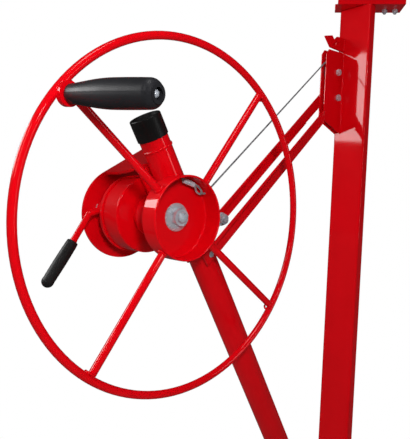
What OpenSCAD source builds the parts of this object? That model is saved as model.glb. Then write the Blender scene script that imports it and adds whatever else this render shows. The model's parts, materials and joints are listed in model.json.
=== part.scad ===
// Hand-wheel cable winch on a strut, braced to the mast of a sheet-lifting hoist.
// Origin: centre of the mast's lower end. +Z is up, +X points away from the winch, +Y away from the hand wheel.

/* [Hand wheel] */
// Diameter of the rim's centre line
wheel_d = 500; // [400:10:520]
// Diameter of the round bar of the rim
rim_rod_d = 11.2; // [8:0.2:14]
// Diameter of the round bar of the spokes
spoke_d = 11.2; // [8:0.2:12]
// Turn of the first spoke above the horizontal
spoke_turn = 52.8; // [30:0.2:60]
// Length of the handle grip
grip_len = 130; // [100:1:140]
// Largest diameter of the handle grip
grip_d = 34; // [28:1:40]

/* [Hub cup and drum] */
// Outer diameter of the cable cup
cup_d = 123.4; // [100:0.2:140]
// Depth of the cable cup
cup_depth = 33; // [24:1:33]
// Outer diameter of the brake drum
drum_d = 118; // [112:1:128]
// Width of the brake drum
drum_w = 44; // [36:1:48]
// Diameter of the wheel shaft
shaft_d = 16; // [12:1:18]

/* [Strut and braces] */
// Height of the wheel shaft above the mast's lower end
shaft_h = 840; // [760:10:900]
// Distance from the wheel shaft to the mast's centre line
reach = 517.5; // [480:0.5:560]
// Outer diameter of the strut tube
strut_d = 44.5; // [38:0.5:46]
// Lean of the strut from the vertical
strut_lean = 30.6; // [28:0.2:33]
// Width of the flat brace bars
brace_w = 21; // [18:1:30]

/* [Mast] */
// Height of the mast
mast_h = 1293; // [1250:1:1340]
// Width of the mast
mast_w = 74; // [74:1:80]
// Thickness of the mast
mast_t = 22; // [22:1:30]
// Wall of the mast tube
mast_wall = 3; // [2:0.5:3]
// Outer radius of the mast's corners
mast_corner_r = 4; // [3.5:0.5:6]
// Diameter of the cross pin hole at the mast's foot
foot_hole_d = 12; // [8:0.5:14]

/* [Pulley] */
// Radius of the cable groove
groove_r = 34.4; // [32:0.1:34.4]
// Diameter of the steel cable
cable_d = 3; // [2.4:0.2:3.4]

/* [Hidden] */
$fn = 72;

red = [0.78, 0.02, 0.05];
black = [0.06, 0.06, 0.06];
zinc = [0.72, 0.73, 0.75];
steel = [0.55, 0.56, 0.58];
bronze = [0.66, 0.48, 0.25];
lining_brown = [0.25, 0.22, 0.19];

shaft_x = -reach;
wheel_r = wheel_d / 2;
// The wheel is welded by hand, so its four spokes aren't quite square
spoke_turns = [spoke_turn, spoke_turn + 87.8, spoke_turn + 180, spoke_turn + 269.4];
run_gap = 0.06;                 // radial running clearance of a shaft in a hole

// Stations along Y, from the wheel's plane towards the back
wheel_y = -55;
cup_front_y = wheel_y - 8;
cup_back_y = cup_front_y + cup_depth;
cup_wall = 3;
strut_r = strut_d / 2;
plate_t = 5;
drum_y = 33;
drum_wall = 4;
rear_plate_y = 105;
rear_plate_t = 4;
lever_y = 86;

// The strut's axis passes the shaft on its mast side
strut_offset = 46;              // horizontal distance from shaft to strut axis, at the shaft's height
strut_side = strut_offset * cos(strut_lean);
cap_len = 33;
strut_up = 139.5;               // strut's length above the shaft's height, along its axis
bracket_hub_r = 74.5;           // rear plate's radius round the shaft
strap_t = 4;                    // strap that ties the bracket's two plates over the drum
strap_bottom = bracket_hub_r - strap_t;
bracket_right = 88;
spacer_r = 14;
bush_r = 17;
rear_bush_r = 12;
strut_bolt_x = shaft_x + 80.8;  // bolt that holds both braces on the strut
strut_bolt_z = shaft_h - 59;
tie_x = shaft_x + 150;          // bolt through the rear brace
tie_z = shaft_h - 6;
brace_t = 4;
bolt_r = 5;                     // M10 bolts of the strut and the brace
bolt_across = 17;

// Pulley, bracket and cable
mast_face_x = -mast_t / 2;
pulley_x = -30.5;
pulley_z = shaft_h + 313.8;
pulley_y = 29;
pulley_w = 8;
pulley_lip_r = groove_r + 3.1;
cheek_t = 2.5;
cheek_gap = 9;
cheek_y = pulley_y - cheek_gap / 2 - cheek_t;
end_bolt_x = -27;               // lower bolt of the pulley bracket
end_bolt_z = shaft_h + 259.6;
small_bolt_d = 8;               // M8 bolts of the pulley bracket
small_bolt_across = 13;
bracket_x = -75.5;
cable_r = cable_d / 2;
cable_hole = [shaft_x + 49.4, -43, shaft_h + 38.8];   // where the cable leaves the cup
cable_drop_z = pulley_z - 150;                        // end of the cable inside the mast

// The head plate on top of the mast
head_turn = -49.3;
head_gap = 1;
head_t = 4;
head_bolt_r = 5;
head_clamp_x = [58, 80];

// The handle leans in a little towards the wheel's centre
handle_base = [shaft_x - 189, wheel_y - 7, shaft_h + 143];
handle_dir = [0.22, -0.972, -0.08];
boss_t = 7;
tap_depth = 2.5;
spindle_r = 4;

// The brake lever's pivot, and the shoes' anchor opposite to it
cam_r = 46;
cam_turn = 170;
cam_x = shaft_x + cam_r * cos(cam_turn);
cam_z = shaft_h + cam_r * sin(cam_turn);
anchor_x = 2 * shaft_x - cam_x;
anchor_z = 2 * shaft_h - cam_z;
cam_shaft_r = 6;
anchor_r = 5;
shoe_y = drum_y + 10;
shoe_w = 26;
shoe_gap = 7.2;                 // half the gap between the two shoes' ends
lining_gap = 1.2;
lining_t = 3;
drum_inner_r = drum_d / 2 - drum_wall;

// ---- shared shapes -------------------------------------------------------

// A cylinder along +Y from y, centred on x and z
module along_y(x, z, y, len, r) {
    translate([x, y, z]) rotate([-90, 0, 0]) cylinder(h = len, r = r);
}

// A hexagonal prism along +Y
module hex_y(x, z, y, len, across) {
    translate([x, y, z]) rotate([-90, 0, 0]) cylinder(h = len, r = across / sqrt(3), $fn = 6);
}

// Turns local +Z to the direction d
module aim(d) {
    rotate([0, acos(d[2] / norm(d)), atan2(d[1], d[0])]) children();
}

// Places children in the strut's frame: X across the strut, Z up along it, origin at the shaft
module on_strut() {
    translate([shaft_x, 0, shaft_h]) rotate([0, -strut_lean, 0]) children();
}

// An outline in the XZ plane, made a plate from y towards +Y
module xz_plate(y, t) {
    translate([0, y + t, 0]) rotate([90, 0, 0]) linear_extrude(height = t) children();
}

// A turned profile about the wheel's shaft; profile points are [radius, distance along +Y]
module turned(y) {
    translate([shaft_x, y, shaft_h]) rotate([-90, 0, 0]) rotate_extrude($fn = 120) children();
}

module rim_body() {
    translate([shaft_x, wheel_y, shaft_h]) rotate([90, 0, 0])
        rotate_extrude($fn = 180) translate([wheel_r, 0]) circle(d = rim_rod_d, $fn = 36);
}

module spoke_bar(turn) {
    translate([shaft_x, wheel_y + 4, shaft_h]) rotate([0, -turn, 0]) rotate([0, 89.1, 0])
        translate([0, 0, cup_d / 2 - 3]) rotate([1, 0, 0]) cylinder(h = wheel_r - cup_d / 2 + 3, d = spoke_d, $fn = 32);
}

// A rectangle with round corners, centred
module rounded_rect(w, h, r) {
    square([w - 2 * r, h], center = true);
    square([w, h - 2 * r], center = true);
    for (x = [-1, 1], y = [-1, 1]) translate([x * (w / 2 - r), y * (h / 2 - r)]) circle(r = r, $fn = 48);
}

// The mast's inner outline
module mast_bore() {
    rounded_rect(mast_t - 2 * mast_wall, mast_w - 2 * mast_wall, mast_corner_r - mast_wall);
}

// ---- mast and its fittings ----------------------------------------------

module mast() {
    slot_h = 2 * pulley_lip_r + 8;
    color(red) difference() {
        linear_extrude(height = mast_h) difference() {
            rounded_rect(mast_t, mast_w, mast_corner_r);
            mast_bore();
        }
        translate([mast_face_x - 1, pulley_y - cheek_gap / 2, pulley_z - slot_h / 2])
            cube([mast_wall + 2, cheek_gap, slot_h]);
        along_y(0, 40, -mast_w, 2 * mast_w, foot_hole_d / 2);
    }
}

module pulley_bracket() {
    outline = [[mast_face_x, shaft_h + 183], [mast_face_x, shaft_h + 359], [bracket_x + 9, shaft_h + 356],
        [bracket_x, shaft_h + 345], [bracket_x, shaft_h + 206]];
    color(red) difference() {
        union() {
            for (y = [cheek_y, pulley_y + cheek_gap / 2]) xz_plate(y, cheek_t) polygon(outline);
            // floor plate that ties the two cheeks together below the pulley
            translate([mast_face_x - 20, cheek_y + cheek_t, shaft_h + 192]) cube([20, cheek_gap, 3]);
        }
        along_y(pulley_x, pulley_z, cheek_y - 1, 20, small_bolt_d / 2);
        along_y(end_bolt_x, end_bolt_z, cheek_y - 1, 20, small_bolt_d / 2);
    }
}

module pulley() {
    h = pulley_w / 2;
    color(steel) translate([pulley_x, pulley_y, pulley_z]) rotate([-90, 0, 0]) difference() {
        rotate_extrude($fn = 96) polygon([[4 + run_gap, -h], [12, -h], [12, -h + 1.5], [groove_r - 5, -h + 1.5],
            [groove_r - 5, -h], [pulley_lip_r, -h], [groove_r, -1.6], [groove_r, 1.6], [pulley_lip_r, h],
            [groove_r - 5, h], [groove_r - 5, h - 1.5], [12, h - 1.5], [12, h], [4 + run_gap, h]]);
        for (a = [0:60:300]) rotate(a) translate([(groove_r + 7) / 2, 0, -h]) cylinder(h = pulley_w, r = 5);
    }
}

// A bolt along Y with a hexagon head in front and a nut behind, past a grip length
module cross_bolt(x, z, y, grip) {
    d = small_bolt_d;
    hex_y(x, z, y - 0.6 * d, 0.6 * d, small_bolt_across);
    along_y(x, z, y - 1, grip + d + 2, d / 2);
    hex_y(x, z, y + grip, 0.7 * d, small_bolt_across);
}

module pulley_bolt() {
    color(zinc) cross_bolt(pulley_x, pulley_z, cheek_y, cheek_gap + 2 * cheek_t);
}

module brace_end_bolt() {
    color(zinc) cross_bolt(end_bolt_x, end_bolt_z, cheek_y, cheek_gap + 2 * cheek_t);
}

module storage_hook() {
    outline = [[mast_face_x, shaft_h + 361], [mast_face_x, shaft_h + 391], [-38, shaft_h + 389],
        [-49, shaft_h + 379.5], [-58, shaft_h + 387], [-84, shaft_h + 380], [-72, shaft_h + 369],
        [-63, shaft_h + 361]];
    color(red) difference() {
        xz_plate(cheek_y, 4) polygon(outline);
        along_y(-44, shaft_h + 373, cheek_y - 1, 6, 2.8);
    }
}

module on_head() {
    translate([0, 0, mast_h + head_gap]) rotate([0, 0, head_turn]) children();
}

module head_plate() {
    color(red) on_head() difference() {
        union() {
            translate([-46, -25, 0]) cube([140, 50, head_t]);
            for (y = [-25, 21]) translate([-46, y, head_t]) cube([140, 4, 14]);
        }
        translate([0, 0, -1]) cylinder(h = head_t + 2, r = head_bolt_r + run_gap);
        for (x = head_clamp_x) translate([x, 8, -1]) cylinder(h = head_t + 2, r = 3);
    }
}

// Pivot of the head plate: a stem plugged into the mast's top, and a bolt head over the plate
module head_pivot_bolt() {
    stem = 24;
    color(zinc) {
        translate([0, 0, mast_h - stem]) linear_extrude(height = stem) mast_bore();
        translate([0, 0, mast_h - 1]) cylinder(h = head_gap - run_gap + 1, r = 7.5);
        translate([0, 0, mast_h - 1]) cylinder(h = head_gap + head_t + 3, r = head_bolt_r);
        translate([0, 0, mast_h + head_gap + head_t + run_gap]) cylinder(h = 6, r = bolt_across / sqrt(3), $fn = 6);
    }
}

module head_clamp_bolts() {
    r = 10 / sqrt(3);
    color(zinc) on_head() for (x = head_clamp_x) translate([x, 8, 0]) {
        translate([0, 0, -6]) cylinder(h = 6, r = r, $fn = 6);
        translate([0, 0, -9]) cylinder(h = 18, r = 3);
        translate([0, 0, head_t]) cylinder(h = 4, r = r, $fn = 6);
    }
}

// ---- strut, bracket and braces -------------------------------------------

module strut() {
    len_down = (reach + 60) / sin(strut_lean);
    color(red) difference() {
        on_strut() translate([strut_side, 0, -len_down]) difference() {
            cylinder(h = len_down + strut_up, r = strut_r);
            translate([0, 0, -1]) cylinder(h = len_down + strut_up + 2, r = strut_r - 3);
        }
        translate([mast_face_x, -50, -200]) cube([400, 100, 600]);
        along_y(strut_bolt_x, strut_bolt_z, -40, 80, bolt_r);
    }
}

module strut_cap() {
    color(black) on_strut() translate([strut_side, 0, strut_up - cap_len + 4]) difference() {
        rotate_extrude($fn = 96) union() {
            square([strut_r + 1.6, cap_len - 3]);
            square([strut_r - 1.4, cap_len]);
            translate([strut_r - 1.4, cap_len - 3]) circle(r = 3, $fn = 32);
        }
        translate([0, 0, -1]) cylinder(h = cap_len - 3, r = strut_r);
    }
}

// Outlines of the bracket's plates, in the strut's frame
front_outline = [[9, -20], [strut_side + strut_r, -20], [strut_side + strut_r, strap_bottom], [9, strap_bottom]];
rear_outline = [[0, -20], [strut_side + strut_r, -20], [bracket_right, 40], [bracket_right, bracket_hub_r],
    [0, bracket_hub_r]];
// The strap seen along the strut: it narrows from the rear plate to the strut
strap_outline = [[0, rear_plate_y + rear_plate_t], [bracket_right, rear_plate_y + rear_plate_t],
    [strut_side + strut_r, strut_r], [32, strut_r], [22, 35], [8, 45], [0, 67]];

module winch_bracket() {
    color(red) difference() {
        on_strut() {
            xz_plate(strut_r, plate_t) union() {
                circle(r = 32, $fn = 120);
                polygon(front_outline);
            }
            xz_plate(rear_plate_y, rear_plate_t) union() {
                circle(r = bracket_hub_r, $fn = 120);
                polygon(rear_outline);
            }
            translate([0, 0, strap_bottom]) linear_extrude(height = strap_t) polygon(strap_outline);
        }
        along_y(shaft_x, shaft_h, strut_r - 1, plate_t + 2, bush_r);
        along_y(shaft_x, shaft_h, rear_plate_y - 1, rear_plate_t + 2, rear_bush_r);
        along_y(cam_x, cam_z, rear_plate_y - 1, rear_plate_t + 2, cam_shaft_r + run_gap);
        along_y(anchor_x, anchor_z, rear_plate_y - 1, rear_plate_t + 2, anchor_r);
    }
}

module front_bush() {
    color(bronze) difference() {
        along_y(shaft_x, shaft_h, strut_r, plate_t, bush_r);
        along_y(shaft_x, shaft_h, strut_r - 1, plate_t + 2, spacer_r + run_gap);
    }
}

module rear_bush() {
    color(bronze) difference() {
        union() {
            along_y(shaft_x, shaft_h, rear_plate_y - 14, 14, 15);
            along_y(shaft_x, shaft_h, rear_plate_y, rear_plate_t, rear_bush_r);
        }
        along_y(shaft_x, shaft_h, rear_plate_y - 15, rear_plate_t + 17, shaft_d / 2 + run_gap);
    }
}

// A flat bar from point a to point b, its thickness along Y
module flat_bar(a, b, t) {
    d = b - a;
    run = norm([d[0], d[1]]);
    translate(a) rotate([0, 0, atan2(d[1], d[0])]) rotate([0, -atan2(d[2], run), 0])
        translate([-16, -t / 2, -brace_w / 2]) cube([norm(d) + 16, t, brace_w]);
}

module front_brace() {
    a = [strut_bolt_x, -strut_r - brace_t / 2 - 0.8, strut_bolt_z];
    b = [bracket_x + 8, cheek_y + 0.5, shaft_h + 219.4];
    color(red) difference() {
        flat_bar(a, b, brace_t);
        along_y(strut_bolt_x, strut_bolt_z, -50, 80, bolt_r);
        // it is welded to the front cheek's edge
        translate([bracket_x, -50, shaft_h]) cube([100, 150, 400]);
    }
}

module rear_brace() {
    a = [strut_bolt_x + 2.1, strut_r + brace_t / 2 + 0.6, strut_bolt_z - 1.8];
    b = [mast_face_x - 10, pulley_y + cheek_gap / 2 + cheek_t + 3, shaft_h + 291];
    color(red) difference() {
        flat_bar(a, b, brace_t);
        along_y(strut_bolt_x, strut_bolt_z, 0, 80, bolt_r);
        along_y(tie_x, tie_z, 0, 80, bolt_r);
        // it lies on the rear cheek, clear of the bracket's nuts
        translate([-120, 0, shaft_h + 160]) cube([300, pulley_y + cheek_gap / 2 + cheek_t, 300]);
        for (p = [[pulley_x, pulley_z], [end_bolt_x, end_bolt_z]]) along_y(p[0], p[1], 30, 60, 9);
    }
}

// A bolt through the rear brace, its nut and washer in front
module brace_tie_bolt() {
    front = strut_r + brace_t / 2 + 0.3;    // the brace's front face at this bolt
    washer_t = 2;
    nut_t = 8;
    color(zinc) {
        along_y(tie_x, tie_z, front - washer_t - nut_t - 3, washer_t + nut_t + brace_t + 5, bolt_r);
        hex_y(tie_x, tie_z, front - washer_t - nut_t, nut_t, bolt_across);
        along_y(tie_x, tie_z, front - washer_t, washer_t, 12);
        hex_y(tie_x, tie_z, front + brace_t + 0.9, 6, bolt_across);
    }
}

module strut_bolt() {
    color(zinc) {
        along_y(strut_bolt_x, strut_bolt_z, -strut_r - 5, 2 * strut_r + 20, bolt_r);
        hex_y(strut_bolt_x, strut_bolt_z, strut_r + 7, 8, bolt_across);
    }
}

// ---- wheel, cup, shaft and drum -------------------------------------------

module wheel_rim() {
    color(red) rim_body();
}

module spoke(turn) {
    color(red) difference() {
        spoke_bar(turn);
        rim_body();
        along_y(shaft_x, shaft_h, cup_front_y - 1, cup_depth + 10, cup_d / 2);
    }
}

module hub_cup() {
    r = cup_d / 2;
    fillet = 6;
    color(red) difference() {
        turned(cup_front_y) union() {
            // wall with a rounded front lip
            translate([r - cup_wall, 1.5]) square([cup_wall, cup_depth - 1.5 - fillet]);
            translate([r - cup_wall / 2, 1.5]) circle(r = cup_wall / 2, $fn = 32);
            // floor and the rounded corner between floor and wall
            translate([shaft_d / 2, cup_depth - cup_wall]) square([r - fillet - shaft_d / 2, cup_wall]);
            intersection() {
                translate([r - fillet, cup_depth - fillet]) difference() {
                    circle(r = fillet, $fn = 64);
                    circle(r = fillet - cup_wall, $fn = 64);
                }
                translate([r - fillet, cup_depth - fillet]) square(fillet);
            }
        }
        // hole where the cable passes through the wall
        translate([shaft_x, cable_hole[1], shaft_h]) rotate([0, -38.2, 0]) rotate([0, 90, 0])
            cylinder(h = 80, r = cable_r + 0.8);
    }
}

module wheel_shaft() {
    color(zinc) along_y(shaft_x, shaft_h, wheel_y + 5, rear_plate_y + 17 - wheel_y - 5, shaft_d / 2);
}

module shaft_flange_nut() {
    y = cup_back_y - cup_wall;
    color(zinc) difference() {
        union() {
            along_y(shaft_x, shaft_h, y - 2.5, 2.5, 21);
            hex_y(shaft_x, shaft_h, y - 13, 10.5, 24);
            translate([shaft_x, y - 2.5, shaft_h]) rotate([90, 0, 0]) cylinder(h = 4, r1 = 17, r2 = 13);
        }
        along_y(shaft_x, shaft_h, y - 20, 30, shaft_d / 2);
    }
}

module drum_spacer() {
    color(zinc) difference() {
        along_y(shaft_x, shaft_h, cup_back_y, drum_y - cup_back_y, spacer_r);
        along_y(shaft_x, shaft_h, cup_back_y - 1, drum_y - cup_back_y + 2, shaft_d / 2);
    }
}

module brake_drum() {
    r = drum_d / 2;
    color(red) turned(drum_y) union() {
        translate([shaft_d / 2, 0]) square([r - shaft_d / 2 - 2, drum_wall]);
        translate([r - 2, 2]) circle(r = 2, $fn = 32);
        translate([r - drum_wall, 2]) square([drum_wall, drum_w - 2]);
        // the hub, and a stiffening bead at the open edge
        translate([shaft_d / 2, 0]) square([9, drum_w]);
        translate([r, drum_w - 6]) square([2.5, 6]);
    }
}

module shaft_rear_collar() {
    y = rear_plate_y + rear_plate_t;
    color(zinc) difference() {
        union() {
            along_y(shaft_x, shaft_h, y + 0.5, 2.5, 15);
            hex_y(shaft_x, shaft_h, y + 3, 8, 24);
        }
        along_y(shaft_x, shaft_h, y - 5, 30, shaft_d / 2);
    }
}

// ---- steel cable -----------------------------------------------------------

function dot(a, b) = a[0] * b[0] + a[1] * b[1] + a[2] * b[2];
function unit(v) = v / norm(v);

// A tube of n sides swept along the points of a path
function ring(p, tangent, r, n) =
    let (side = unit(cross(tangent, [0.05, 1, 0.02])), up = cross(side, tangent))
    [for (k = [0:n - 1]) p + r * (cos(360 * k / n) * side + sin(360 * k / n) * up)];
function tangent_at(path, i) =
    let (last = len(path) - 1)
    unit(path[min(i + 1, last)] - path[max(i - 1, 0)]);
module tube_along(path, r, n) {
    m = len(path);
    pts = [for (i = [0:m - 1]) each ring(path[i], tangent_at(path, i), r, n)];
    sides = [for (i = [0:m - 2]) for (k = [0:n - 1])
        [i * n + k, i * n + (k + 1) % n, (i + 1) * n + (k + 1) % n, (i + 1) * n + k]];
    start = [for (k = [0:n - 1]) n - 1 - k];
    finish = [for (k = [0:n - 1]) (m - 1) * n + k];
    polyhedron(points = pts, faces = concat([start], sides, [finish]), convexity = 6);
}

// The cable's angle in the XZ plane, and where it first touches the pulley
wrap_r = groove_r + cable_r + 0.3;
leg = [pulley_x - cable_hole[0], pulley_z - cable_hole[2]];
leg_angle = atan2(leg[1], leg[0]) + asin(wrap_r / norm(leg));
function on_pulley(a) = [pulley_x + wrap_r * cos(a), pulley_y, pulley_z + wrap_r * sin(a)];
// the cable enters the bracket well between its cheeks, and rubs on the pulley's lip there
mouth_run = (bracket_x - 2 - cable_hole[0]) / cos(leg_angle);
cable_mouth = [bracket_x - 2, pulley_y - 2, cable_hole[2] + mouth_run * sin(leg_angle)];
cable_path = concat(
    [for (i = [0:3]) cable_hole + (cable_mouth - cable_hole) * i / 3],
    [for (i = [0:12]) on_pulley((leg_angle + 90) * (1 - i / 12))],
    [for (i = [1:3]) [pulley_x + wrap_r, pulley_y, pulley_z - (pulley_z - cable_drop_z) * i / 3]]);

module cable_run() {
    color(steel) tube_along(cable_path, cable_r, 8);
}

module cable_end_stop() {
    color(steel) translate([pulley_x + wrap_r, pulley_y, cable_drop_z - 16]) {
        cylinder(h = 16, r = 2.2);
        translate([-13, -4, -4]) cube([15, 8, 4]);
    }
}

// The cable's last piece: from the hole in the cup's wall, round inside the wall to its swaged sleeve
sleeve_turn = 75;
sleeve_off = 53;                // distance of the sleeve's axis from the shaft's
sleeve_len = 22;
sleeve_r = 3.6;
function in_cup(a, r, y) = [shaft_x + r * cos(a), y, shaft_h + r * sin(a)];
sleeve_mid = in_cup(sleeve_turn, sleeve_off, cable_hole[1]);
sleeve_dir = [sin(sleeve_turn), 0, -cos(sleeve_turn)];
anchor_path = concat(
    [in_cup(38.2, cup_d / 2 + 0.2, cable_hole[1]), in_cup(39, cup_d / 2 - 3, cable_hole[1])],
    [for (i = [0:3]) in_cup(43 + 6 * i, sleeve_off + 1.5, cable_hole[1])],
    [sleeve_mid + sleeve_dir * sleeve_len / 2, sleeve_mid - sleeve_dir * (sleeve_len / 2 + 4)]);

module cable_anchor() {
    color(steel) tube_along(anchor_path, cable_r, 8);
}

module cable_sleeve() {
    color(zinc) translate(sleeve_mid - sleeve_dir * sleeve_len / 2) aim(sleeve_dir) difference() {
        cylinder(h = sleeve_len, r = sleeve_r);
        translate([0, 0, -1]) cylinder(h = sleeve_len + 2, r = cable_r);
    }
}

// ---- handle ------------------------------------------------------------------

module handle_frame() {
    translate(handle_base) aim(handle_dir) children();
}

// Boss welded on the rim and the spoke, with a blind tapped hole for the handle's spindle
module handle_tab() {
    color(red) difference() {
        handle_frame() difference() {
            translate([0, 0, -boss_t]) cylinder(h = boss_t, r = 15);
            translate([0, 0, -tap_depth]) cylinder(h = tap_depth + 1, r = spindle_r);
        }
        rim_body();
        spoke_bar(spoke_turns[1]);
    }
}

module handle_washer() {
    color(zinc) handle_frame() difference() {
        cylinder(h = 2, r = 9);
        translate([0, 0, -1]) cylinder(h = 4, r = spindle_r);
    }
}

module handle_bolt() {
    head = grip_len - 8;
    color(zinc) handle_frame() {
        translate([0, 0, -tap_depth]) cylinder(h = head + tap_depth, r = spindle_r);
        translate([0, 0, head]) cylinder(h = 5, r = 6.8);
    }
}

module handle_grip() {
    r = grip_d / 2;
    s = 2.4;
    color(black) handle_frame() difference() {
        rotate_extrude($fn = 96) union() {
            polygon([[0, s], [r * 0.66, s], [r * 0.74, s + 4], [r * 0.84, s + 20], [r * 0.94, s + 42],
                [r, s + 68], [r * 0.99, s + 92], [r * 0.93, s + grip_len - 14], [0, s + grip_len - 14]]);
            translate([0, s + grip_len - 14]) intersection() {
                square([r, 14]);
                translate([r * 0.93 - 14, 0]) circle(r = 14, $fn = 64);
            }
            translate([0, s + grip_len - 14]) square([r * 0.93 - 14, 14]);
        }
        translate([0, 0, -1]) cylinder(h = grip_len + 10, r = spindle_r + run_gap);
        translate([0, 0, grip_len - 8]) cylinder(h = 20, r = 9);
    }
}

// ---- brake -------------------------------------------------------------------

// The lever's rod: hub on the cam shaft, a short arm, a bend, and the straight part in the grip
lever_r = 5;
lever_points = [[cam_x, cam_z], [shaft_x - 74, shaft_h - 2], [shaft_x - 99, shaft_h - 42],
    [shaft_x - 143.5, shaft_h - 108.5]];

module rod_between(a, b, r) {
    d = b - a;
    translate([a[0], lever_y, a[1]]) rotate([0, 90 - atan2(d[1], d[0]), 0]) cylinder(h = norm(d), r = r, $fn = 40);
}

module brake_lever() {
    p = lever_points;
    color(red) difference() {
        union() {
            rod_between(p[0], p[1], lever_r);
            rod_between(p[1], p[2] + (p[2] - p[1]) * 0.02, lever_r);
            rod_between(p[2], p[2] + (p[3] - p[2]) * 0.9, lever_r);
            for (q = [p[1], p[2]]) translate([q[0], lever_y, q[1]]) sphere(r = lever_r + 0.5, $fn = 40);
            along_y(cam_x, cam_z, lever_y - 7, 14, 11);
        }
        along_y(cam_x, cam_z, lever_y - 10, 20, cam_shaft_r);
    }
}

module lever_grip() {
    a = lever_points[2];
    b = lever_points[3];
    d = b - a;
    l = norm(d);
    color(black) translate([a[0], lever_y, a[1]]) rotate([0, 90 - atan2(d[1], d[0]), 0]) difference() {
        rotate_extrude($fn = 64) union() {
            translate([0, 2]) square([9.4, l - 12]);
            translate([0, l - 10]) intersection() {
                square([9.4, 9.4]);
                circle(r = 9.4, $fn = 48);
            }
        }
        translate([0, 0, -1]) cylinder(h = l * 0.9 + 1, r = lever_r);
        sphere(r = lever_r + 0.5, $fn = 40);
    }
}

module brake_cam() {
    color(zinc) {
        along_y(cam_x, cam_z, shoe_y + 2, rear_plate_y + rear_plate_t + 4 - shoe_y - 2, cam_shaft_r);
        translate([cam_x, shoe_y - 2, cam_z]) rotate([0, -cam_turn, 0]) translate([-5.5, 0, -3.5]) cube([11, 24, 7]);
    }
}

// Half-ring of a brake shoe or its lining, above or below the line from cam to anchor
module shoe_ring(y, w, inner, outer, gap, side) {
    translate([shaft_x, y, shaft_h]) rotate([0, -cam_turn, 0]) rotate([-90, 0, 0]) intersection() {
        difference() {
            cylinder(h = w, r = outer, $fn = 120);
            translate([0, 0, -1]) cylinder(h = w + 2, r = inner, $fn = 120);
        }
        translate([-outer - 5, side > 0 ? gap : -outer - 5, -1]) cube([2 * outer + 10, outer + 5 - gap, w + 2]);
    }
}

module shoe(side) {
    color(steel) shoe_ring(shoe_y, shoe_w, cam_r - 8, drum_inner_r - lining_gap - lining_t, shoe_gap, side);
}

module lining(side) {
    outer = drum_inner_r - lining_gap;
    color(lining_brown) shoe_ring(shoe_y, shoe_w, outer - lining_t, outer, 2 * shoe_gap, side);
}

module shoe_anchor_pin() {
    color(zinc) along_y(anchor_x, anchor_z, shoe_y - 2, rear_plate_y + rear_plate_t + 4 - shoe_y, anchor_r);
}

mast();
strut();
strut_cap();
winch_bracket();
front_bush();
rear_bush();
front_brace();
rear_brace();
strut_bolt();
brace_tie_bolt();
pulley_bracket();
pulley();
pulley_bolt();
brace_end_bolt();
storage_hook();
head_plate();
head_pivot_bolt();
head_clamp_bolts();
cable_run();
cable_end_stop();
wheel_rim();
spoke(spoke_turns[0]);  // spoke_1
spoke(spoke_turns[1]);  // spoke_2
spoke(spoke_turns[2]);  // spoke_3
spoke(spoke_turns[3]);  // spoke_4
hub_cup();
drum_spacer();
brake_drum();
wheel_shaft();
shaft_flange_nut();
shaft_rear_collar();
cable_anchor();
cable_sleeve();
handle_tab();
handle_bolt();
handle_washer();
handle_grip();
brake_lever();
lever_grip();
brake_cam();
shoe(1);  // upper_shoe
shoe(-1);  // lower_shoe
lining(1);  // upper_lining
lining(-1);  // lower_lining
shoe_anchor_pin();
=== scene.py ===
# %% [markdown]
# # A hand-wheel cable winch
#
# The winch is bolted to a hoist: a red mast, a leaning strut and two flat braces carry a hand wheel, a
# cable cup and a brake drum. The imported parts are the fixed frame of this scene. This notebook gives them
# their paint and metal, and adds what a plain solid lacks: weld beads, threads, chamfered nuts, moulded
# grips and a laid steel cable.

# %% Load the frame
import json
import math
import random

import bmesh
import bpy
from mathutils import Matrix, Vector


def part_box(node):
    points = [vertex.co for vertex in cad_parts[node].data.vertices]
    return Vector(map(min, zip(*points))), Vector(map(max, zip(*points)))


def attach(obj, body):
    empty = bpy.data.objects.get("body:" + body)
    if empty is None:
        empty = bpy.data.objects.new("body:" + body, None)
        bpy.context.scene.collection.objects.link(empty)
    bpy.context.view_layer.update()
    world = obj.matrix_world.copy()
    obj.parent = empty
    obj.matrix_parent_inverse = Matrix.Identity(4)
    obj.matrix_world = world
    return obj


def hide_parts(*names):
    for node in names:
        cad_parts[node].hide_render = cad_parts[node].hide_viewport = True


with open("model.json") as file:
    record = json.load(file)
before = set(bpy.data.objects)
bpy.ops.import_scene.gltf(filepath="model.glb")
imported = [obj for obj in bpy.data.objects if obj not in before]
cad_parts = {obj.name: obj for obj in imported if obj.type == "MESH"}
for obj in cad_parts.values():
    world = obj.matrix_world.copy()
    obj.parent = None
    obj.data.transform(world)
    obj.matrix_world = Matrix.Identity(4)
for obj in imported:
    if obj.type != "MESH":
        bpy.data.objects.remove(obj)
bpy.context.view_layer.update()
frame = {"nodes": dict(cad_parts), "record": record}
scene = bpy.context.scene
print("CAD nodes:", len(frame["nodes"]))


# %% [markdown]
# Everything below is placed from the frame. The wheel's middle is the middle of the rim's box, and the
# strut leans in the XZ plane, so two directions, along the strut and across it, serve for all that is
# welded to it.

# %% Places taken from the frame
def centre_of(node):
    low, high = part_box(node)
    return (low + high) / 2


MM = 0.001
wheel = centre_of("wheel_rim")
rim_low, rim_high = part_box("wheel_rim")
rim_rod = (rim_high.y - rim_low.y) / 2
rim_radius = (rim_high.x - rim_low.x) / 2 - rim_rod
cup_low, cup_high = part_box("hub_cup")
cup_radius = (cup_high.x - cup_low.x) / 2
mast_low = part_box("mast")[0]

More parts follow.
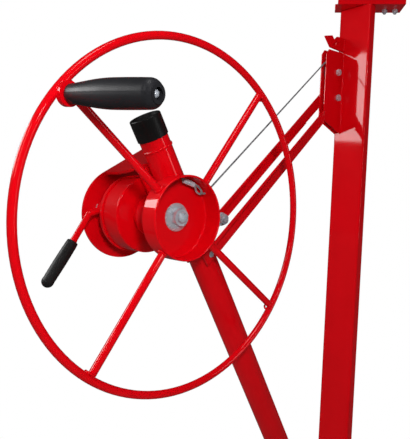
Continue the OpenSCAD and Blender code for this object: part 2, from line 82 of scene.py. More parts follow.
STRUT_LEAN = math.radians(30.6)
strut_up = Vector((-math.sin(STRUT_LEAN), 0, math.cos(STRUT_LEAN)))
strut_across = Vector((math.cos(STRUT_LEAN), 0, math.sin(STRUT_LEAN)))
strut_radius = (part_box("strut")[1].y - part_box("strut")[0].y) / 2
STRUT_OFFSET = 46 * MM
axle = Vector((wheel.x, 0, wheel.z))
strut_foot = axle + strut_across * (STRUT_OFFSET * math.cos(STRUT_LEAN))
back = Vector((0, 1, 0))
front = -back
up = Vector((0, 0, 1))
print("wheel radius", round(rim_radius, 4), "cup radius", round(cup_radius, 4))


# %% [markdown]
# ## Helpers for turned, swept and chamfered pieces
#
# Most small parts of a machine are turned on a lathe, so one helper spins a profile into a closed solid.
# A second one sweeps a round bar along a path, for strands and weld beads. A third stands a piece's local
# Z along any direction. Each finished piece keeps its object at the origin, with its place in its mesh.

# %% Helpers
def frame_at(origin, direction):
    turn = Vector(direction).to_track_quat("Z", "Y").to_matrix().to_4x4()
    return Matrix.Translation(origin) @ turn


def finish_piece(name, bm, body, slot, replaced=(), smooth_below=40):
    bmesh.ops.remove_doubles(bm, verts=bm.verts, dist=1e-6)
    bmesh.ops.recalc_face_normals(bm, faces=bm.faces)
    mesh = bpy.data.meshes.new(name)
    bm.to_mesh(mesh)
    bm.free()
    mesh.shade_smooth()
    mesh.set_sharp_from_angle(angle=math.radians(smooth_below))
    piece = bpy.data.objects.new(name, mesh)
    scene.collection.objects.link(piece)
    mesh.materials.append(MATERIALS[slot])
    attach(piece, body)
    if replaced:
        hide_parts(*replaced)
    return piece


def spin_profile(bm, profile, place, steps=64):
    """Turns a profile of (radius, height) points about local Z, then puts it in place."""
    verts = [bm.verts.new((radius, 0, height)) for radius, height in profile]
    edges = [bm.edges.new(pair) for pair in zip(verts, verts[1:])]
    made = bmesh.ops.spin(bm, geom=verts + edges, cent=(0, 0, 0), axis=(0, 0, 1), angle=math.tau,
                          steps=steps, use_merge=True)
    turned = set(verts)
    for item in made["geom_last"]:
        if isinstance(item, bmesh.types.BMVert):
            turned.add(item)
    new_verts = connected(turned)
    bmesh.ops.remove_doubles(bm, verts=list(new_verts), dist=1e-7)
    alive = [v for v in new_verts if v.is_valid]
    bmesh.ops.transform(bm, matrix=place, verts=alive)
    return alive


def connected(seed):
    """All vertices joined by edges to those in seed."""
    found = set(v for v in seed if v.is_valid)
    front = list(found)
    while front:
        vert = front.pop()
        for edge in vert.link_edges:
            other = edge.other_vert(vert)
            if other not in found:
                found.add(other)
                front.append(other)
    return found


def hexagon(bm, across, start, length, place, chamfer=0.11):
    """A hexagonal prism along local Z whose corners are cut at its outer end, as on a nut."""
    made = bmesh.ops.create_cone(bm, cap_ends=True, segments=6, radius1=across / math.sqrt(3),
                                 radius2=across / math.sqrt(3), depth=length)
    verts = made["verts"]
    outer = [v for v in verts if v.co.z > 0]
    made = bmesh.ops.bevel(bm, geom=outer, offset=chamfer * across, segments=1, profile=0.5,
                           affect="VERTICES", material=-1)
    verts = list(connected([verts[0]] if verts[0].is_valid else made["verts"][:1]))
    bmesh.ops.transform(bm, matrix=place @ Matrix.Translation((0, 0, start + length / 2)), verts=verts)


def arc(centre_r, centre_z, radius, start, end, steps):
    """Points on an arc in a profile, by angle from the outward direction."""
    turns = [math.radians(start + (end - start) * i / steps) for i in range(steps + 1)]
    return [(centre_r + radius * math.cos(turn), centre_z + radius * math.sin(turn)) for turn in turns]


def thread_profile(radius, start, length, pitch):
    """A stub with a row of thread crests: close turns that read as a screw thread."""
    depth = 0.3 * pitch
    root = radius - depth
    points = [(0, start), (root, start)]
    for turn in range(int(length / pitch)):
        z = start + turn * pitch
        points += [(root, z + 0.1 * pitch), (radius, z + 0.5 * pitch), (root, z + 0.9 * pitch)]
    return points + [(radius - 2 * depth, start + length), (0, start + length)]


def bars(name, paths, radius, sides=3, ripple=None):
    """Round bars along paths of points, made from one curve and turned into one mesh."""
    curve = bpy.data.curves.new(name, "CURVE")
    curve.dimensions = "3D"
    curve.bevel_depth = radius
    curve.bevel_resolution = sides
    curve.use_fill_caps = True
    for path in paths:
        spline = curve.splines.new("POLY")
        spline.points.add(len(path) - 1)
        for index, point in enumerate(path):
            spline.points[index].co = (*point, 1)
            spline.points[index].radius = ripple(index, len(path)) if ripple else 1
    holder = bpy.data.objects.new(name, curve)
    scene.collection.objects.link(holder)
    bpy.context.view_layer.update()
    made = bpy.data.meshes.new_from_object(holder.evaluated_get(bpy.context.evaluated_depsgraph_get()))
    bpy.data.objects.remove(holder)
    bm = bmesh.new()
    bm.from_mesh(made)
    bpy.data.meshes.remove(made)
    return bm


# %% [markdown]
# ## Finishes
#
# Two effects serve several materials, so each is one node group: a break-up mask, which makes gloss and
# colour vary by a few per cent over a surface, and a fine bump, which gives paint its orange peel and
# moulded plastic its grain.

# %% Shared node groups
def new_group(name, inputs, outputs):
    group = bpy.data.node_groups.new(name, "ShaderNodeTree")
    for socket_name, kind, value in inputs:
        socket = group.interface.new_socket(name=socket_name, in_out="INPUT", socket_type=kind)
        socket.default_value = value
    for socket_name, kind in outputs:
        group.interface.new_socket(name=socket_name, in_out="OUTPUT", socket_type=kind)
    start = group.nodes.new("NodeGroupInput")
    end = group.nodes.new("NodeGroupOutput")
    return group, start, end


def build_break_up():
    inputs = [("Scale", "NodeSocketFloat", 20.0), ("Low", "NodeSocketFloat", 0.0),
              ("High", "NodeSocketFloat", 1.0)]
    group, start, end = new_group("Break-up mask", inputs, [("Value", "NodeSocketFloat")])
    place = group.nodes.new("ShaderNodeTexCoord")
    grain = group.nodes.new("ShaderNodeTexNoise")
    grain.inputs["Detail"].default_value = 4
    spread = group.nodes.new("ShaderNodeMapRange")
    spread.inputs["From Min"].default_value = 0.3
    spread.inputs["From Max"].default_value = 0.7
    link = group.links.new
    link(place.outputs["Object"], grain.inputs["Vector"])
    link(start.outputs["Scale"], grain.inputs["Scale"])
    link(grain.outputs["Fac"], spread.inputs["Value"])
    link(start.outputs["Low"], spread.inputs["To Min"])
    link(start.outputs["High"], spread.inputs["To Max"])
    link(spread.outputs["Result"], end.inputs["Value"])
    return group


def build_fine_bump():
    inputs = [("Scale", "NodeSocketFloat", 300.0), ("Strength", "NodeSocketFloat", 0.1)]
    group, start, end = new_group("Fine bump", inputs, [("Normal", "NodeSocketVector")])
    place = group.nodes.new("ShaderNodeTexCoord")
    grain = group.nodes.new("ShaderNodeTexNoise")
    grain.inputs["Detail"].default_value = 2
    bump = group.nodes.new("ShaderNodeBump")
    bump.inputs["Distance"].default_value = 0.0006
    link = group.links.new
    link(place.outputs["Object"], grain.inputs["Vector"])
    link(start.outputs["Scale"], grain.inputs["Scale"])
    link(grain.outputs["Fac"], bump.inputs["Height"])
    link(start.outputs["Strength"], bump.inputs["Strength"])
    link(bump.outputs["Normal"], end.inputs["Normal"])
    return group


BREAK_UP = build_break_up()
FINE_BUMP = build_fine_bump()


# %% [markdown]
# Every finish starts from one recipe: a base colour that drifts between two close tones, a roughness that
# varies, and a bump of its own scale. The plain numbers, such as coat or metallic, are set on the shader
# itself.

# %% Material recipe
def finish(name, dark, light, rough, grain_scale, grain_strength, tone_scale=14, plain=None):
    material = bpy.data.materials.new(name)
    material.use_nodes = True
    nodes = material.node_tree.nodes
    link = material.node_tree.links.new
    shader = nodes["Principled BSDF"]
    tone = nodes.new("ShaderNodeGroup")
    tone.node_tree = BREAK_UP
    tone.inputs["Scale"].default_value = tone_scale
    colour = nodes.new("ShaderNodeMix")
    colour.data_type = "RGBA"
    colour.inputs["A"].default_value = (*dark, 1)
    colour.inputs["B"].default_value = (*light, 1)
    link(tone.outputs["Value"], colour.inputs["Factor"])
    link(colour.outputs["Result"], shader.inputs["Base Color"])
    gloss = nodes.new("ShaderNodeGroup")
    gloss.node_tree = BREAK_UP
    gloss.inputs["Scale"].default_value = 3 * tone_scale
    gloss.inputs["Low"].default_value = rough[0]
    gloss.inputs["High"].default_value = rough[1]
    link(gloss.outputs["Value"], shader.inputs["Roughness"])
    bump = nodes.new("ShaderNodeGroup")
    bump.node_tree = FINE_BUMP
    bump.inputs["Scale"].default_value = grain_scale
    bump.inputs["Strength"].default_value = grain_strength
    link(bump.outputs["Normal"], shader.inputs["Normal"])
    for socket_name, value in (plain or {}).items():
        shader.inputs[socket_name].default_value = value
    return material


MATERIALS = {
    "red_enamel": finish(
        "Red enamel", (0.66, 0.0002, 0.0035), (0.74, 0.0003, 0.0048), (0.45, 0.6), 60, 0.06, 10,
        plain={"Specular IOR Level": 0.04, "Coat Weight": 0.9, "Coat Roughness": 0.05}),
    "black_cap_plastic": finish(
        "Black cap plastic", (0.004, 0.004, 0.004), (0.008, 0.008, 0.008), (0.3, 0.42), 900, 0.1),
    "black_grip_plastic": finish(
        "Black grip plastic", (0.012, 0.012, 0.014), (0.018, 0.018, 0.021), (0.42, 0.52), 700, 0.25,
        plain={"Coat Weight": 0.15, "Coat Roughness": 0.25}),
    "black_grip_rubber": finish(
        "Black dipped rubber", (0.005, 0.005, 0.005), (0.011, 0.011, 0.011), (0.4, 0.52), 1500, 0.2),
    "zinc_plate": finish(
        "Zinc plate", (0.42, 0.46, 0.52), (0.8, 0.84, 0.9), (0.2, 0.3), 250, 0.04, 40,
        plain={"Metallic": 0.5, "Specular IOR Level": 0.9}),
    "steel_cable": finish(
        "Steel cable", (0.2, 0.21, 0.22), (0.42, 0.43, 0.45), (0.3, 0.5), 1500, 0.1, 200,
        plain={"Metallic": 0.4}),
    "pulley_steel": finish(
        "Pulley steel", (0.3, 0.3, 0.31), (0.5, 0.5, 0.51), (0.28, 0.42), 600, 0.15, 80,
        plain={"Metallic": 1.0}),
    "shoe_iron": finish(
        "Cast iron", (0.1, 0.1, 0.1), (0.2, 0.19, 0.19), (0.5, 0.7), 500, 0.5, 60,
        plain={"Metallic": 0.8}),
    "friction_lining": finish(
        "Friction lining", (0.05, 0.042, 0.034), (0.11, 0.09, 0.07), (0.75, 0.9), 900, 0.6, 400),
    "bush_bronze": finish(
        "Bush bronze", (0.36, 0.22, 0.08), (0.52, 0.34, 0.14), (0.3, 0.45), 900, 0.15, 100,
        plain={"Metallic": 1.0}),
}

slot_of = {part["node"]: part["material_slot"] for part in frame["record"]["subparts"]}
for node_name, node in frame["nodes"].items():
    node.data.materials.clear()
    node.data.materials.append(MATERIALS[slot_of[node_name]])
print("finishes:", len(MATERIALS))


# %% [markdown]
# ## Broken edges on the plates
#
# Sheared plate never has a razor edge, and paint rounds it further. The pulley bracket, the two braces,
# the hook and the head plate get a narrow bevel as a modifier, after their loose triangles are welded
# together, so their edges catch the light.

# %% Edge bevels
def break_edges(node_name, width):
    node = frame["nodes"][node_name]
    weld = node.modifiers.new("Weld", "WELD")
    weld.merge_threshold = 1e-5
    bevel = node.modifiers.new("Bevel", "BEVEL")
    bevel.width = width
    bevel.segments = 3
    bevel.limit_method = "ANGLE"
    bevel.angle_limit = math.radians(50)
    bevel.harden_normals = False


for plate_name in ("pulley_bracket", "front_brace", "rear_brace", "storage_hook", "head_plate"):
    break_edges(plate_name, 0.7 * MM)


# %% [markdown]
# ## The hand grip
#
# The handle is a hollow moulding that turns on a long spindle. It swells in the middle of the palm, its
# end is a deep round shoulder, and the spindle's domed head sits in a round pocket in that end. It is one
# spun profile, with two faint mould seams raised along it afterwards.

# %% Hand grip and its bolt
grip_axis = Vector((0.22, -0.972, -0.08)).normalized()
handle_base = wheel + Vector((-189, -7, 143)) * MM
GRIP_LENGTH = 130 * MM
GRIP_RADIUS = 17 * MM
GRIP_START = 2.4 * MM
WIDEST_AT = 0.56
SPINDLE_RADIUS = 4 * MM
HEAD_RADIUS = 6.8 * MM
grip_place = frame_at(handle_base, grip_axis)


def grip_profile():
    bore, pocket, lip = 4.2 * MM, 9 * MM, 1.6 * MM
    top = GRIP_START + GRIP_LENGTH
    shoulder = 10.5 * MM
    end_radius = 0.95 * GRIP_RADIUS
    points = [(bore, GRIP_START), (0.6 * GRIP_RADIUS, GRIP_START)]
    points += arc(0.6 * GRIP_RADIUS, GRIP_START + 1.5 * MM, 1.5 * MM, -90, 0, 5)
    first = GRIP_START + 3 * MM
    for step in range(1, 25):
        along = step / 24
        if along <= WIDEST_AT:
            swell = 0.69 + 0.31 * math.sin(along / WIDEST_AT * math.pi / 2) ** 1.25
        else:
            swell = 1 - 0.05 * ((along - WIDEST_AT) / (1 - WIDEST_AT)) ** 2
        points.append((swell * GRIP_RADIUS, first + along * (GRIP_LENGTH - 3 * MM - shoulder)))
    points += arc(end_radius - shoulder, top - shoulder, shoulder, 5, 86, 12)
    points += arc(pocket + lip, top - lip, lip, 90, 180, 5)
    points += [(pocket, top - 9 * MM), (bore, top - 9 * MM), (bore, GRIP_START)]
    return points


bm = bmesh.new()
spin_profile(bm, grip_profile(), Matrix(), 96)
SEAM_HEIGHT = 0.25 * MM
for vert in bm.verts:
    turn = math.atan2(vert.co.y, vert.co.x)
    reach = math.hypot(vert.co.x, vert.co.y)
    if abs(math.sin(turn)) < 0.02 and reach > 0.62 * GRIP_RADIUS:
        vert.co.x *= 1 + SEAM_HEIGHT / reach
bmesh.ops.transform(bm, matrix=grip_place, verts=bm.verts)
finish_piece("hand_grip_moulding", bm, "grip", "black_grip_plastic", ["handle_grip"], 55)

bm = bmesh.new()
head_z = GRIP_LENGTH - 6 * MM
profile = [(0, -2.5 * MM), (SPINDLE_RADIUS, -2.5 * MM), (SPINDLE_RADIUS, head_z),
           (HEAD_RADIUS - 0.4 * MM, head_z), (HEAD_RADIUS, head_z + 0.5 * MM),
           (HEAD_RADIUS, head_z + 2.2 * MM), (HEAD_RADIUS - 1 * MM, head_z + 2.8 * MM)]
profile += arc(0, head_z + 2.8 * MM, 5 * MM, 10, 90, 8)
spin_profile(bm, profile, grip_place, 48)
finish_piece("handle_spindle", bm, "hand_wheel", "zinc_plate", ["handle_bolt"])


# %% [markdown]
# ## The strut's cap and the brake lever's grip
#
# Both are pushed on. The cap is a moulded cup with a raised rim round a sunken disc, and the lever's grip
# is dipped rubber with a round end.

# %% Cap and lever grip
CAP_LENGTH = 33 * MM
CAP_BASE = 110.5 * MM
CAP_TOP = CAP_BASE + CAP_LENGTH
cap_place = frame_at(strut_foot, strut_up)
cap_radius = strut_radius + 1.6 * MM
bm = bmesh.new()
cap_bore = strut_radius + 0.05 * MM
profile = [(cap_bore, CAP_BASE), (cap_radius - 0.5 * MM, CAP_BASE), (cap_radius, CAP_BASE + 0.5 * MM),
           (cap_radius + 0.1 * MM, CAP_BASE + 0.6 * CAP_LENGTH)]
profile += arc(cap_radius - 1.8 * MM, CAP_TOP - 1.8 * MM, 1.8 * MM, 0, 90, 8)
profile += [(cap_radius - 3.4 * MM, CAP_TOP), (cap_radius - 4.4 * MM, CAP_TOP - 2.6 * MM),
            (0, CAP_TOP - 3.0 * MM), (0, CAP_TOP - 4.6 * MM), (cap_bore, CAP_TOP - 4.6 * MM),
            (cap_bore, CAP_BASE)]
spin_profile(bm, profile, cap_place, 96)
finish_piece("strut_end_cap", bm, "frame", "black_cap_plastic", ["strut_cap"])

lever_y = centre_of("lever_grip").y
lever_bend = Vector((wheel.x - 99 * MM, lever_y, wheel.z - 42 * MM))
lever_end = Vector((wheel.x - 143.5 * MM, lever_y, wheel.z - 108.5 * MM))
lever_length = (lever_end - lever_bend).length
rod_end = 0.9 * lever_length + 0.3 * MM
LEVER_BORE = 5.05 * MM
bm = bmesh.new()
profile = [(LEVER_BORE, 2 * MM), (7.6 * MM, 2 * MM), (8.6 * MM, 3 * MM)]
for step in range(1, 19):
    along = step / 19
    swell = 8.8 * MM + 0.5 * MM * math.sin(math.pi * along) + 0.12 * MM * math.cos(math.tau * 9 * along)
    profile.append((swell, 3 * MM + along * (lever_length - 13 * MM)))
profile += arc(0, lever_length - 9.2 * MM, 9.2 * MM, 0, 90, 10)
profile += [(0, rod_end), (LEVER_BORE, rod_end), (LEVER_BORE, 2 * MM)]
spin_profile(bm, profile, frame_at(lever_bend, lever_end - lever_bend), 64)
finish_piece("lever_dipped_grip", bm, "lever", "black_grip_rubber", ["lever_grip"], 55)


# %% [markdown]
# ## Nuts, bolts and the shaft's thread
#
# A nut is a hexagon whose corners are turned off, and a bolt's free end shows a few turns of thread. One
# function builds a fastener from the stations of its parts along its axis, so all of them keep the sizes
# of the frame.

# %% Fasteners
def disc_profile(radius, start, length, chamfer):
    """Half the section of a round bar or washer with both of its edges broken."""
    end = start + length
    return [(0, start), (radius - chamfer, start), (radius, start + chamfer), (radius, end - chamfer),
            (radius - chamfer, end), (0, end)]


def fastener(name, node_names, body, place, parts):
    bm = bmesh.new()
    for kind, start, length, size in parts:
        if kind == "hex":
            hexagon(bm, size, start, length, place)
        elif kind == "hex_front":
            turned = place @ Matrix.Translation((0, 0, 2 * start + length)) @ Matrix.Rotation(math.pi, 4, "X")
            hexagon(bm, size, start, length, turned)
        elif kind == "washer":
            spin_profile(bm, disc_profile(size, start, length, 0.3 * MM), place, 48)
        elif kind == "rod":
            spin_profile(bm, disc_profile(size, start, length, 0.6 * MM), place, 48)
        elif kind == "thread":
            spin_profile(bm, thread_profile(size, start, length, 1.5 * MM), place, 40)
    return finish_piece(name, bm, body, "zinc_plate", node_names)


bracket_low, bracket_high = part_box("pulley_bracket")
for bolt_name in ("pulley_bolt", "brace_end_bolt"):
    middle = centre_of(bolt_name)
    place = frame_at(Vector((middle.x, bracket_low.y, middle.z)), back)
    fastener(bolt_name + "_set", [bolt_name], "frame", place,
             [("hex_front", -4.8 * MM, 4.8 * MM, 13 * MM), ("rod", -1 * MM, 20 * MM, 4 * MM),
              ("hex", 14 * MM, 5.6 * MM, 13 * MM), ("thread", 19 * MM, 4 * MM, 4 * MM)])

tie_middle = centre_of("brace_tie_bolt")
place = frame_at(Vector((tie_middle.x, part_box("brace_tie_bolt")[0].y, tie_middle.z)), back)
fastener("brace_tie_set", ["brace_tie_bolt"], "frame", place,
         [("thread", 0, 5 * MM, 5 * MM), ("rod", 4 * MM, 15 * MM, 5 * MM),
          ("hex_front", 3 * MM, 8 * MM, 17 * MM), ("washer", 11 * MM, 2 * MM, 12 * MM),
          ("hex", 17.9 * MM, 6 * MM, 17 * MM)])

strut_bolt_middle = centre_of("strut_bolt")
place = frame_at(Vector((strut_bolt_middle.x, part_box("strut_bolt")[0].y, strut_bolt_middle.z)), back)
fastener("strut_bolt_set", ["strut_bolt"], "frame", place,
         [("rod", 0, 58 * MM, 5 * MM), ("hex", 56.5 * MM, 8 * MM, 17 * MM),
          ("thread", 57 * MM, 7.5 * MM, 5 * MM)])


# %% [markdown]
# The big nut in the cup sits on a domed flange. Its shaft ends in a thread with a round nose, and a
# matching nut holds the rear end.

# %% Wheel shaft, its front nut and rear nut
nut_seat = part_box("shaft_flange_nut")[1].y
shaft_low, shaft_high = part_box("wheel_shaft")
place = frame_at(Vector((wheel.x, nut_seat, wheel.z)), front)
bm = bmesh.new()
hexagon(bm, 24 * MM, 4.5 * MM, 8.5 * MM, place, 0.13)
dome = [(0, 0), (20.6 * MM, 0), (21 * MM, 0.5 * MM), (20.8 * MM, 1.8 * MM)]
for step in range(9):
    along = step / 8
    dome.append((20.4 * MM - 6.6 * MM * along, 2.3 * MM + 3.2 * MM * math.sin(math.pi / 2 * along)))
dome.append((0, 5.6 * MM))
spin_profile(bm, dome, place, 72)
finish_piece("shaft_front_nut", bm, "hand_wheel", "zinc_plate", ["shaft_flange_nut"])

bm = bmesh.new()
place = frame_at(Vector((wheel.x, shaft_high.y, wheel.z)), front)
length = shaft_high.y - shaft_low.y
SHAFT_RADIUS = 8 * MM
THREAD_ROOT = 7.4 * MM
SHAFT_PITCH = 2 * MM
profile = thread_profile(SHAFT_RADIUS, 0, 15 * MM, SHAFT_PITCH)[:-2]
profile += [(SHAFT_RADIUS, 15.5 * MM), (SHAFT_RADIUS, length - 9 * MM)]
for turn in range(4):
    z = length - 8.5 * MM + turn * SHAFT_PITCH
    profile += [(THREAD_ROOT, z), (SHAFT_RADIUS, z + 0.9 * MM), (THREAD_ROOT, z + 1.8 * MM)]
profile += [(6.6 * MM, length - 0.2 * MM), (5.4 * MM, length), (1.6 * MM, length),
            (1.2 * MM, length - 1.0 * MM), (0, length - 1.2 * MM)]
spin_profile(bm, profile, place, 64)
finish_piece("wheel_shaft_threaded", bm, "hand_wheel", "zinc_plate", ["wheel_shaft"])

place = frame_at(Vector((wheel.x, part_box("shaft_rear_collar")[0].y, wheel.z)), back)
fastener("shaft_rear_nut", ["shaft_rear_collar"], "hand_wheel", place,
         [("washer", 0, 2.5 * MM, 15 * MM), ("hex", 2.5 * MM, 8 * MM, 24 * MM)])


# %% [markdown]
# ## The steel cable
#
# A hoist's cable is laid: six strands are wound together, with a lay of between six and seven diameters.
# The strands are swept along helices about the cable's route. The route is the frame's: from the hole in
# the cup's wall to the pulley, over its groove, and down inside the mast. In the cup the cable ends in an
# eye, closed by a swaged sleeve.

# %% Cable route
pulley = centre_of("pulley")
CABLE_RADIUS = 1.5 * MM
CABLE_LAY = 20 * MM
ROUTE_STEP = 1.7 * MM
wrap_radius = 36 * MM
cable_hole = wheel + Vector((49.4, 12, 38.8)) * MM
across = Vector((pulley.x - cable_hole.x, 0, pulley.z - cable_hole.z))
leg_angle = math.atan2(across.z, across.x) + math.asin(wrap_radius / across.length)


def on_pulley(angle):
    return pulley + wrap_radius * Vector((math.cos(angle), 0, math.sin(angle)))


mouth_x = bracket_low.x - 2 * MM
mouth_z = cable_hole.z + (mouth_x - cable_hole.x) * math.tan(leg_angle)
route = [cable_hole, Vector((mouth_x, pulley.y - 2 * MM, mouth_z))]
route += [on_pulley((leg_angle + math.pi / 2) * (1 - i / 20)) for i in range(21)]
route.append(Vector((pulley.x + wrap_radius, pulley.y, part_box("cable_end_stop")[1].z)))


def resample(points, step):
    """The same line, with points at an even distance along it."""
    lengths = [0]
    for a, b in zip(points, points[1:]):
        lengths.append(lengths[-1] + (b - a).length)
    count = max(2, round(lengths[-1] / step))
    result, index = [], 0
    for i in range(count + 1):
        along = lengths[-1] * i / count
        while index < len(points) - 2 and lengths[index + 1] < along:
            index += 1
        part = (along - lengths[index]) / (lengths[index + 1] - lengths[index])
        result.append(points[index].lerp(points[index + 1], part))
    return result


def strands(points, radius, lay, count=6):
    """Helical paths of the strands about a cable's centre line."""
    step = (points[1] - points[0]).length
    strand_radius = radius / 3
    paths = []
    for number in range(count):
        path = []
        for index, point in enumerate(points):
            ahead = points[min(index + 1, len(points) - 1)] - points[max(index - 1, 0)]
            side = ahead.cross(Vector((0.05, 1, 0.02))).normalized()
            above = side.cross(ahead).normalized()
            turn = math.tau * (number / count + index * step / lay)
            path.append(point + (side * math.cos(turn) + above * math.sin(turn)) * (radius - strand_radius))
        paths.append(path)
    return paths


fine_route = resample(route, ROUTE_STEP)
bm = bars("cable_strands", strands(fine_route, CABLE_RADIUS, CABLE_LAY), CABLE_RADIUS / 3, 1)
finish_piece("cable_strands", bm, "frame", "steel_cable", ["cable_run"], 80)
print("cable length", round(sum((b - a).length for a, b in zip(route, route[1:])), 3), "m")


# %% Cable eye and its sleeve
def in_cup(degrees, radius):
    angle = math.radians(degrees)
    return wheel + Vector((radius * math.cos(angle), 12 * MM, radius * math.sin(angle)))


SLEEVE_TURN = 75
sleeve_centre = in_cup(SLEEVE_TURN, 53 * MM)
sleeve_axis = Vector((math.sin(math.radians(SLEEVE_TURN)), 0, -math.cos(math.radians(SLEEVE_TURN))))
inward = (wheel + Vector((0, 12 * MM, 0)) - sleeve_centre).normalized()
sleeve_half = 11 * MM
gap = 1.5 * MM
start_out = sleeve_centre + sleeve_axis * sleeve_half - inward * gap
start_in = sleeve_centre + sleeve_axis * sleeve_half + inward * gap


def bend(points, steps=10):
    """A smooth line through a few points (a Catmull-Rom spline)."""
    padded = [2 * points[0] - points[1]] + points + [2 * points[-1] - points[-2]]
    line = []
    for a, b, c, d in zip(padded, padded[1:], padded[2:], padded[3:]):
        for i in range(steps):
            t = i / steps
            square = 2 * a - 5 * b + 4 * c - d
            cube = 3 * b - a - 3 * c + d
            line.append(0.5 * (2 * b + (c - a) * t + square * t * t + cube * t ** 3))
    return line + [points[-1]]


tail_out = sleeve_centre - sleeve_axis * (sleeve_half + 4 * MM) - inward * gap
tail_in = sleeve_centre - sleeve_axis * (sleeve_half + 2 * MM) + inward * gap
eye = [tail_out, start_out, in_cup(54, 56 * MM), in_cup(47, 56 * MM), in_cup(43, 53 * MM),
       in_cup(46, 49.5 * MM), in_cup(55, 48.5 * MM), start_in, tail_in]
lead_in = [in_cup(38.2, cup_radius - 0.4 * MM), in_cup(38.8, 58 * MM), in_cup(41, 55 * MM),
           in_cup(44, 53.5 * MM) + front * 2 * MM, in_cup(47, 53 * MM) + front * 1.5 * MM]
paths = strands(resample(bend(eye), ROUTE_STEP), CABLE_RADIUS, CABLE_LAY)
paths += strands(resample(bend(lead_in), ROUTE_STEP), CABLE_RADIUS, CABLE_LAY)
bm = bars("cable_eye", paths, CABLE_RADIUS / 3, 1)
finish_piece("cable_eye", bm, "hand_wheel", "steel_cable", ["cable_anchor"], 80)

bm = bmesh.new()
profile = [(0, -sleeve_half), (2.6 * MM, -sleeve_half)]
for step in range(23):
    z = -sleeve_half + 0.6 * MM + step * (2 * sleeve_half - 1.2 * MM) / 22
    dip = 0.35 * MM if step % 5 in (2, 3) else 0
    profile.append((3.5 * MM - dip, z))
profile += [(2.6 * MM, sleeve_half), (0, sleeve_half)]
turn = Matrix((inward, front, sleeve_axis)).transposed().to_4x4()
spin_profile(bm, profile, Matrix.Translation(sleeve_centre) @ turn @ Matrix.Diagonal((1.15, 0.9, 1, 1)), 40)
finish_piece("cable_ferrule", bm, "hand_wheel", "zinc_plate", ["cable_sleeve"])


# %% [markdown]
# ## Weld beads
#
# The frame is welded, and the paint runs over the beads. One bead goes round the strut above the bracket.
# A bead is a bar swept along the seam whose thickness rises and falls as the welder's hand moved, so that
# each joint shows small overlapping ripples.

# %% Weld beads
random.seed(7)
bead_paths = {"hand_wheel": [], "frame": []}


def add_bead(body, points, radius, step=1.4 * MM):
    line = []
    for point in resample(points, step):
        wander = Vector((random.uniform(-1, 1), random.uniform(-1, 1), random.uniform(-1, 1)))
        line.append(point + wander * 0.12 * radius)
    bead_paths[body].append((line, radius))


def ring_points(centre, axis, radius, start=0, end=360, steps=24):
    place = frame_at(centre, axis)
    return [place @ Vector((*point, 0)) for point in arc(0, 0, radius, start, end, steps)]


SPOKE_TURNS = (52.8, 140.6, 232.8, 322.2)
SPOKE_RADIUS = 5.6 * MM
for degrees in SPOKE_TURNS:
    turn = math.radians(degrees)
    out = Vector((math.cos(turn), 0, math.sin(turn)))
    at_rim = wheel + out * (rim_radius - rim_rod - 0.6 * MM) + Vector((0, 1.2 * MM, 0))
    at_cup = wheel + out * (cup_radius + 0.9 * MM) + Vector((0, 3.9 * MM, 0))
    add_bead("hand_wheel", ring_points(at_rim, out, SPOKE_RADIUS + 0.3 * MM), 1.7 * MM)
    add_bead("hand_wheel", ring_points(at_cup, out, SPOKE_RADIUS + 0.3 * MM), 1.8 * MM)

boss_seam = ring_points(handle_base - grip_axis * 5.5 * MM, grip_axis, 14.6 * MM, 60, 200, 30)
add_bead("hand_wheel", boss_seam, 1.6 * MM)

STRAP_TOP = 74.5 * MM
COLLAR_WELD = 94.1 * MM
collar_seam = ring_points(strut_foot + strut_up * COLLAR_WELD, strut_up, strut_radius - 0.6 * MM, steps=48)
add_bead("frame", collar_seam, 2.0 * MM)
bracket_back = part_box("winch_bracket")[1].y
seam_start = axle + strut_up * (STRAP_TOP - 4.6 * MM) + Vector((0, bracket_back - 4.4 * MM, 0))
add_bead("frame", [seam_start + strut_across * 2 * MM, seam_start + strut_across * 84 * MM], 1.8 * MM)
for y in (bracket_low.y - 0.3 * MM, bracket_high.y + 0.3 * MM):
    foot = Vector((mast_low.x - 0.3 * MM, y, bracket_low.z + 4 * MM))
    add_bead("frame", [foot, Vector((foot.x, y, bracket_high.z - 3 * MM))], 1.5 * MM)
hook_low, hook_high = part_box("storage_hook")
seam = Vector((mast_low.x - 0.3 * MM, hook_low.y - 0.2 * MM, 0))
add_bead("frame", [seam + up * (hook_low.z + 2 * MM), seam + up * (hook_high.z - 2 * MM)], 1.4 * MM)
brace_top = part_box("front_brace")[1].z
seam = Vector((bracket_low.x - 0.6 * MM, bracket_low.y - 0.4 * MM, 0))
add_bead("frame", [seam + up * (brace_top - 30 * MM), seam + up * (brace_top - 2 * MM)], 1.6 * MM)

foot_height = 61 * MM
foot_half = strut_radius / math.sin(STRUT_LEAN)
foot_ring = []
for i in range(49):
    angle = math.tau * i / 48
    foot_ring.append(Vector((mast_low.x - 0.5 * MM, (strut_radius + 0.4 * MM) * math.cos(angle),
                             foot_height + (foot_half + 0.8 * MM) * math.sin(angle))))
add_bead("frame", foot_ring, 2.2 * MM)

def ripple(index, count):
    """How thick a bead is at one point of its path."""
    return 1 + 0.16 * math.sin(index * 2.4)


for body, seams in bead_paths.items():
    bm = bmesh.new()
    for path, radius in seams:
        part = bars("bead", [path], radius, 2, ripple)
        mesh = bpy.data.meshes.new("bead")
        part.to_mesh(mesh)
        part.free()
        bm.from_mesh(mesh)
        bpy.data.meshes.remove(mesh)
    finish_piece("weld_beads_" + body, bm, body, "red_enamel", (), 70)
print("weld seams:", sum(len(seams) for seams in bead_paths.values()))


# %% [markdown]
# ## Floor, light and camera
#
# The stage is a plain white sweep: the floor and the background are one tone, and paint mirrors only the
# panels. The key light stands close to the wheel, at its front left, so the brightness falls off towards
# the mast and the strut's foot. A panel behind on the left gives the cup and the drum their soft bright
# patch, and the others draw thin highlights on tubes, rims and nuts.

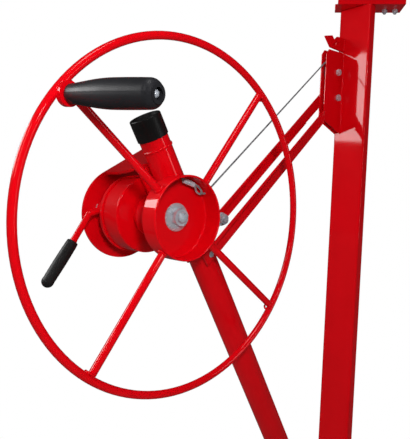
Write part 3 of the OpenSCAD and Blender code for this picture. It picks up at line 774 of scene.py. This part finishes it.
# %% Stage
ROOM_LIGHT = 0.17
MIRRORED_LIGHT = 0.02
bm = bmesh.new()
bmesh.ops.create_grid(bm, x_segments=1, y_segments=1, size=12)
bmesh.ops.translate(bm, verts=bm.verts, vec=(0, 0, -1 * MM))
floor_mesh = bpy.data.meshes.new("floor")
bm.to_mesh(floor_mesh)
bm.free()
floor = bpy.data.objects.new("floor", floor_mesh)
scene.collection.objects.link(floor)


def mix_by_ray(nodes, links, ray, first, second):
    """A shader that is the second one to rays of one kind, and the first one to all others."""
    rays = nodes.new("ShaderNodeLightPath")
    mix = nodes.new("ShaderNodeMixShader")
    links.new(rays.outputs[ray], mix.inputs["Fac"])
    links.new(first, mix.inputs[1])
    links.new(second, mix.inputs[2])
    return mix.outputs["Shader"]


paper = bpy.data.materials.new("White paper")
paper.use_nodes = True
nodes, links = paper.node_tree.nodes, paper.node_tree.links
paper_shader = nodes["Principled BSDF"]
paper_shader.inputs["Base Color"].default_value = (0.8, 0.8, 0.8, 1)
paper_shader.inputs["Roughness"].default_value = 0.9
paper_shader.inputs["Specular IOR Level"].default_value = 0
glow = nodes.new("ShaderNodeEmission")
shade = nodes.new("ShaderNodeEmission")
shade.inputs["Strength"].default_value = 0.05
plain = mix_by_ray(nodes, links, "Is Glossy Ray", paper_shader.outputs["BSDF"], shade.outputs["Emission"])
links.new(mix_by_ray(nodes, links, "Is Camera Ray", plain, glow.outputs["Emission"]),
          nodes["Material Output"].inputs["Surface"])
floor_mesh.materials.append(paper)

world = bpy.data.worlds.new("Studio")
scene.world = world
world.use_nodes = True
nodes, links = world.node_tree.nodes, world.node_tree.links
levels = {}
for name, strength in (("seen", 1.0), ("room", ROOM_LIGHT), ("mirrored", MIRRORED_LIGHT)):
    levels[name] = nodes.new("ShaderNodeBackground")
    levels[name].inputs["Color"].default_value = (1, 1, 1, 1)
    levels[name].inputs["Strength"].default_value = strength
plain = mix_by_ray(nodes, links, "Is Glossy Ray", levels["room"].outputs[0], levels["mirrored"].outputs[0])
links.new(mix_by_ray(nodes, links, "Is Camera Ray", plain, levels["seen"].outputs[0]),
          nodes["World Output"].inputs["Surface"])


def panel(name, direction, distance, size, power, mirrored=True):
    """A rectangular soft light that looks at the wheel from a direction."""
    light = bpy.data.lights.new(name, "AREA")
    light.shape = "RECTANGLE"
    light.size, light.size_y = size
    light.energy = power
    holder = bpy.data.objects.new(name, light)
    holder.location = wheel + Vector(direction).normalized() * distance
    looking = wheel - holder.location
    holder.rotation_euler = looking.to_track_quat("-Z", "Y").to_euler()
    holder.visible_glossy = mirrored
    scene.collection.objects.link(holder)


panel("key_light", (-0.46, -0.65, 0.24), 0.86, (0.14, 0.14), 5.7, mirrored=False)
panel("front_panel", (0.55, -1.0, 0.1), 2.6, (0.3, 0.9), 2)
panel("glint", (-0.2, -1.0, 0.5), 1.6, (0.14, 0.14), 0.9)
panel("back_left_panel", (-0.7, 0.7, 0.42), 1.6, (0.8, 0.5), 9)
panel("left_strip", (-1.0, -0.35, 0.5), 2.2, (0.25, 0.9), 3)
panel("top_panel", (-0.2, -0.3, 1.0), 1.8, (0.6, 0.6), 4)

# %% Camera
CAMERA_FROM_WHEEL = Vector((-467.1, -539.8, 31.0)) * MM
looking = Vector((0.6821, 0.7299, -0.0446))
ROLL = math.radians(2.38)
camera_data = bpy.data.cameras.new("camera")
camera_data.sensor_width = 36
camera_data.lens = 41.0
camera_data.clip_start = 0.01
camera = bpy.data.objects.new("camera", camera_data)
camera.rotation_mode = "QUATERNION"
camera.location = wheel + CAMERA_FROM_WHEEL
aimed = looking.to_track_quat("-Z", "Y").to_matrix()
camera.rotation_quaternion = (aimed @ Matrix.Rotation(ROLL, 3, "Z")).to_quaternion()
scene.collection.objects.link(camera)
scene.camera = camera
scene.view_settings.view_transform = "Standard"
